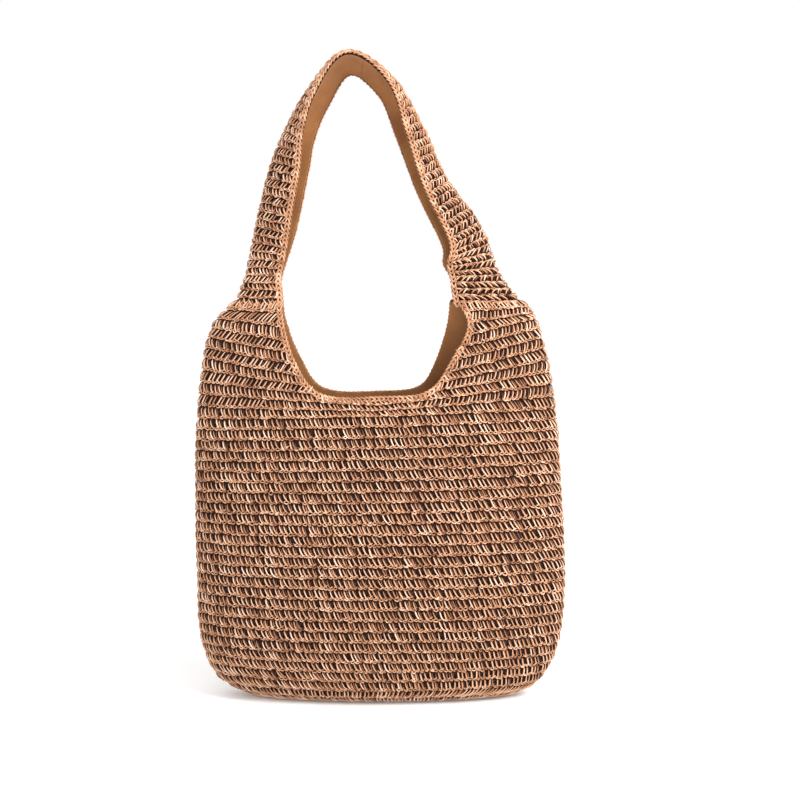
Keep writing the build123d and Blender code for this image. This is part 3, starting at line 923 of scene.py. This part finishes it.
SOFT_PARTS = (
    ("pocket_bag", "pouch_cloth", lining_cotton, "lining_cloth", 0.15 * MM, 6 * MM),
    ("pocket_header", "pouch_header_strip", lining_cotton, "lining_cloth", 0.0, 8 * MM),
    ("snap_patch_front", "snap_backing_front", lining_cotton, "lining_cloth", 0.05 * MM, 4 * MM),
    ("snap_patch_back", "snap_backing_back", lining_cotton, "lining_cloth", 0.05 * MM, 4 * MM),
    ("zip_tape_upper", "tape_upper", zip_tape_cloth, "zip_tape", 0.0, 6 * MM),
    ("zip_tape_lower", "tape_lower", zip_tape_cloth, "zip_tape", 0.0, 6 * MM),
)
for part in SOFT_PARTS:
    soft_copy(*part)
print("soft parts inside:", len(SOFT_PARTS))

# %% [markdown]
# Lines of sewing thread hold the pouch and the tapes. Each stitch is a short
# tube that dips at both ends.

# %% Sewing thread
sewing_thread, tree, skin = new_material("tan_sewing_thread")
skin.inputs["Roughness"].default_value = 0.6
place_out = add_node(tree, "ShaderNodeTexCoord").outputs["Object"]
ply = add_node(tree, "ShaderNodeTexNoise", {"Scale": 2500.0}, {"Vector": place_out})
tree.links.new(
    ramp(tree, ply.outputs["Fac"], [(0.3, "8a5f3e"), (0.7, "c39a70")]), skin.inputs["Base Color"])
THREAD_STITCH = 3.0 * MM


def sewn(line, normal):
    """Stitches along a line: each covers seven tenths of its share, and its middle stands
    a quarter of a millimetre off the cloth."""
    run = np.concatenate([[0], np.cumsum(np.linalg.norm(np.diff(line, axis=0), axis=1))])
    count = int(run[-1] / THREAD_STITCH)
    s = (np.arange(count)[:, None] + np.array([0.12, 0.3, 0.64, 0.82])) * run[-1] / count
    here = np.stack([np.interp(s, run, line[:, i]) for i in range(3)], axis=2)
    up = np.broadcast_to(np.asarray(normal, float), here.shape)
    here = here + up * (np.array([0.0, 0.25, 0.25, 0.0]) * MM)[None, :, None]
    return tubes(here, up, np.full(here.shape[:2], 0.22 * MM), 0.6)


pouch_low, pouch_high = [np.array(c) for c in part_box("pocket_bag")]
tape_low, tape_high = [np.array(c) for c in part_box("zip_tape_upper")]
below_low, below_high = [np.array(c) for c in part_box("zip_tape_lower")]
ACROSS, UP = 10 * MM, 3 * MM  # seams stop short of the pouch's corners, and in from its edges
seams = []
for z in (pouch_low[2] + UP, pouch_high[2] - UP):
    seams.append([
        (pouch_low[0] + ACROSS, pouch_low[1], z), (pouch_high[0] - ACROSS, pouch_low[1], z)])
for x in (pouch_low[0] + UP, pouch_high[0] - UP):
    seams.append([
        (x, pouch_low[1], pouch_low[2] + ACROSS), (x, pouch_low[1], pouch_high[2] - ACROSS)])
for z in (tape_high[2] - 2 * MM, tape_low[2] + 4.5 * MM,
          below_low[2] + 2 * MM, below_high[2] - 4.5 * MM):
    seams.append([(tape_low[0] + 2 * MM, tape_low[1], z), (tape_high[0] - 2 * MM, tape_low[1], z)])
threads = strands_object(
    "pouch_seams", [sewn(np.array(line, float), (0, -1, 0)) for line in seams],
    sewing_thread)
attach(threads, "bag")
print("seams:", len(seams))

# %% [markdown]
# The zip and the snap are brass: cast or stamped, tumbled bright, with a fine grain and a
# little dulling in random patches.

# %% Brass
def brass(name, dark, light, roughness):
    """Metal whose colour and roughness vary with two sizes of noise."""
    made, tree, skin = new_material(name)
    place = add_node(tree, "ShaderNodeTexCoord").outputs["Object"]
    dull = add_node(tree, "ShaderNodeTexNoise", {"Scale": 260.0, "Detail": 4.0}, {"Vector": place})
    grain = add_node(tree, "ShaderNodeTexNoise", {"Scale": 2600.0}, {"Vector": place})
    tree.links.new(
        ramp(tree, dull.outputs["Fac"], [(0.3, dark), (0.7, light)]), skin.inputs["Base Color"])
    rough = add_node(
        tree, "ShaderNodeMapRange", {"To Min": roughness - 0.08, "To Max": roughness + 0.12},
        {"Value": dull.outputs["Fac"]})
    tree.links.new(rough.outputs[0], skin.inputs["Roughness"])
    bump = add_node(
        tree, "ShaderNodeBump", {"Strength": 0.15, "Distance": 0.03 * MM},
        {"Height": grain.outputs["Fac"]})
    tree.links.new(bump.outputs["Normal"], skin.inputs["Normal"])
    skin.inputs["Metallic"].default_value = 1.0
    return made


zip_brass = brass("zip_brass", "9c7a3e", "c9a25a", 0.34)
snap_brass = brass("polished_snap_brass", "b08d4f", "dcbb78", 0.22)
for node in ("zip_teeth_upper", "zip_teeth_lower", "zip_end_stops", "slider_body", "slider_pull"):
    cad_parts[node].data.materials.clear()
    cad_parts[node].data.materials.append(zip_brass)
for node in ("snap_stud", "snap_socket"):
    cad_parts[node].data.materials.clear()
    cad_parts[node].data.materials.append(snap_brass)
print("metal parts finished")

# %% [markdown]
# The bag stands on a white floor that glows a little, as over a light table, so that its
# shadow is faint. The light is broad and soft: a large lamp above and to the right in
# front, a weaker one in front, and a white room all round.

# %% Floor, light and camera
white_floor, tree, skin = new_material("white_floor")
skin.inputs["Base Color"].default_value = linear("fbfbfb")
skin.inputs["Roughness"].default_value = 0.9
skin.inputs["Emission Color"].default_value = (1.0, 1.0, 1.0, 1.0)
skin.inputs["Emission Strength"].default_value = 0.12
bpy.ops.mesh.primitive_plane_add(size=40, location=(0, 0, -0.0002))
floor = bpy.context.object
floor.name = "floor"
floor.data.materials.append(white_floor)

room = bpy.data.worlds.new("pale_room")
bpy.context.scene.world = room
room.use_nodes = True
sky = room.node_tree.nodes["Background"]
sky.inputs["Color"].default_value = (1.0, 1.0, 1.0, 1.0)
sky.inputs["Strength"].default_value = 1.0


def lamp(name, place, target, size, power):
    """A square lamp at a place, turned to face the target."""
    light = bpy.data.lights.new(name, "AREA")
    light.energy, light.size = power, size
    made = bpy.data.objects.new(name, light)
    bpy.context.scene.collection.objects.link(made)
    made.location = place
    way = np.array(target, float) - np.array(place, float)
    made.rotation_euler = Vector(way).to_track_quat("-Z", "Y").to_euler()
    return made


BAG_MIDDLE = (0, 0, 0.25)
lamp("key_lamp", (1.5, -1.05, 1.6), BAG_MIDDLE, 1.1, 46)
lamp("fill_lamp", (0.1, -1.7, 1.5), BAG_MIDDLE, 1.2, 4)

camera = bpy.data.objects.new("camera", bpy.data.cameras.new("camera"))
bpy.context.scene.collection.objects.link(camera)
camera.data.lens = 69.75
camera.data.sensor_width = 36.0
camera.data.clip_start = 0.01
camera.location = (0.019, -1.55, 0.45)
camera.rotation_euler = (math.radians(90 - 5.45), 0, 0)
bpy.context.scene.camera = camera
bpy.context.scene.view_settings.view_transform = "Standard"
print("camera's lens (mm):", camera.data.lens)
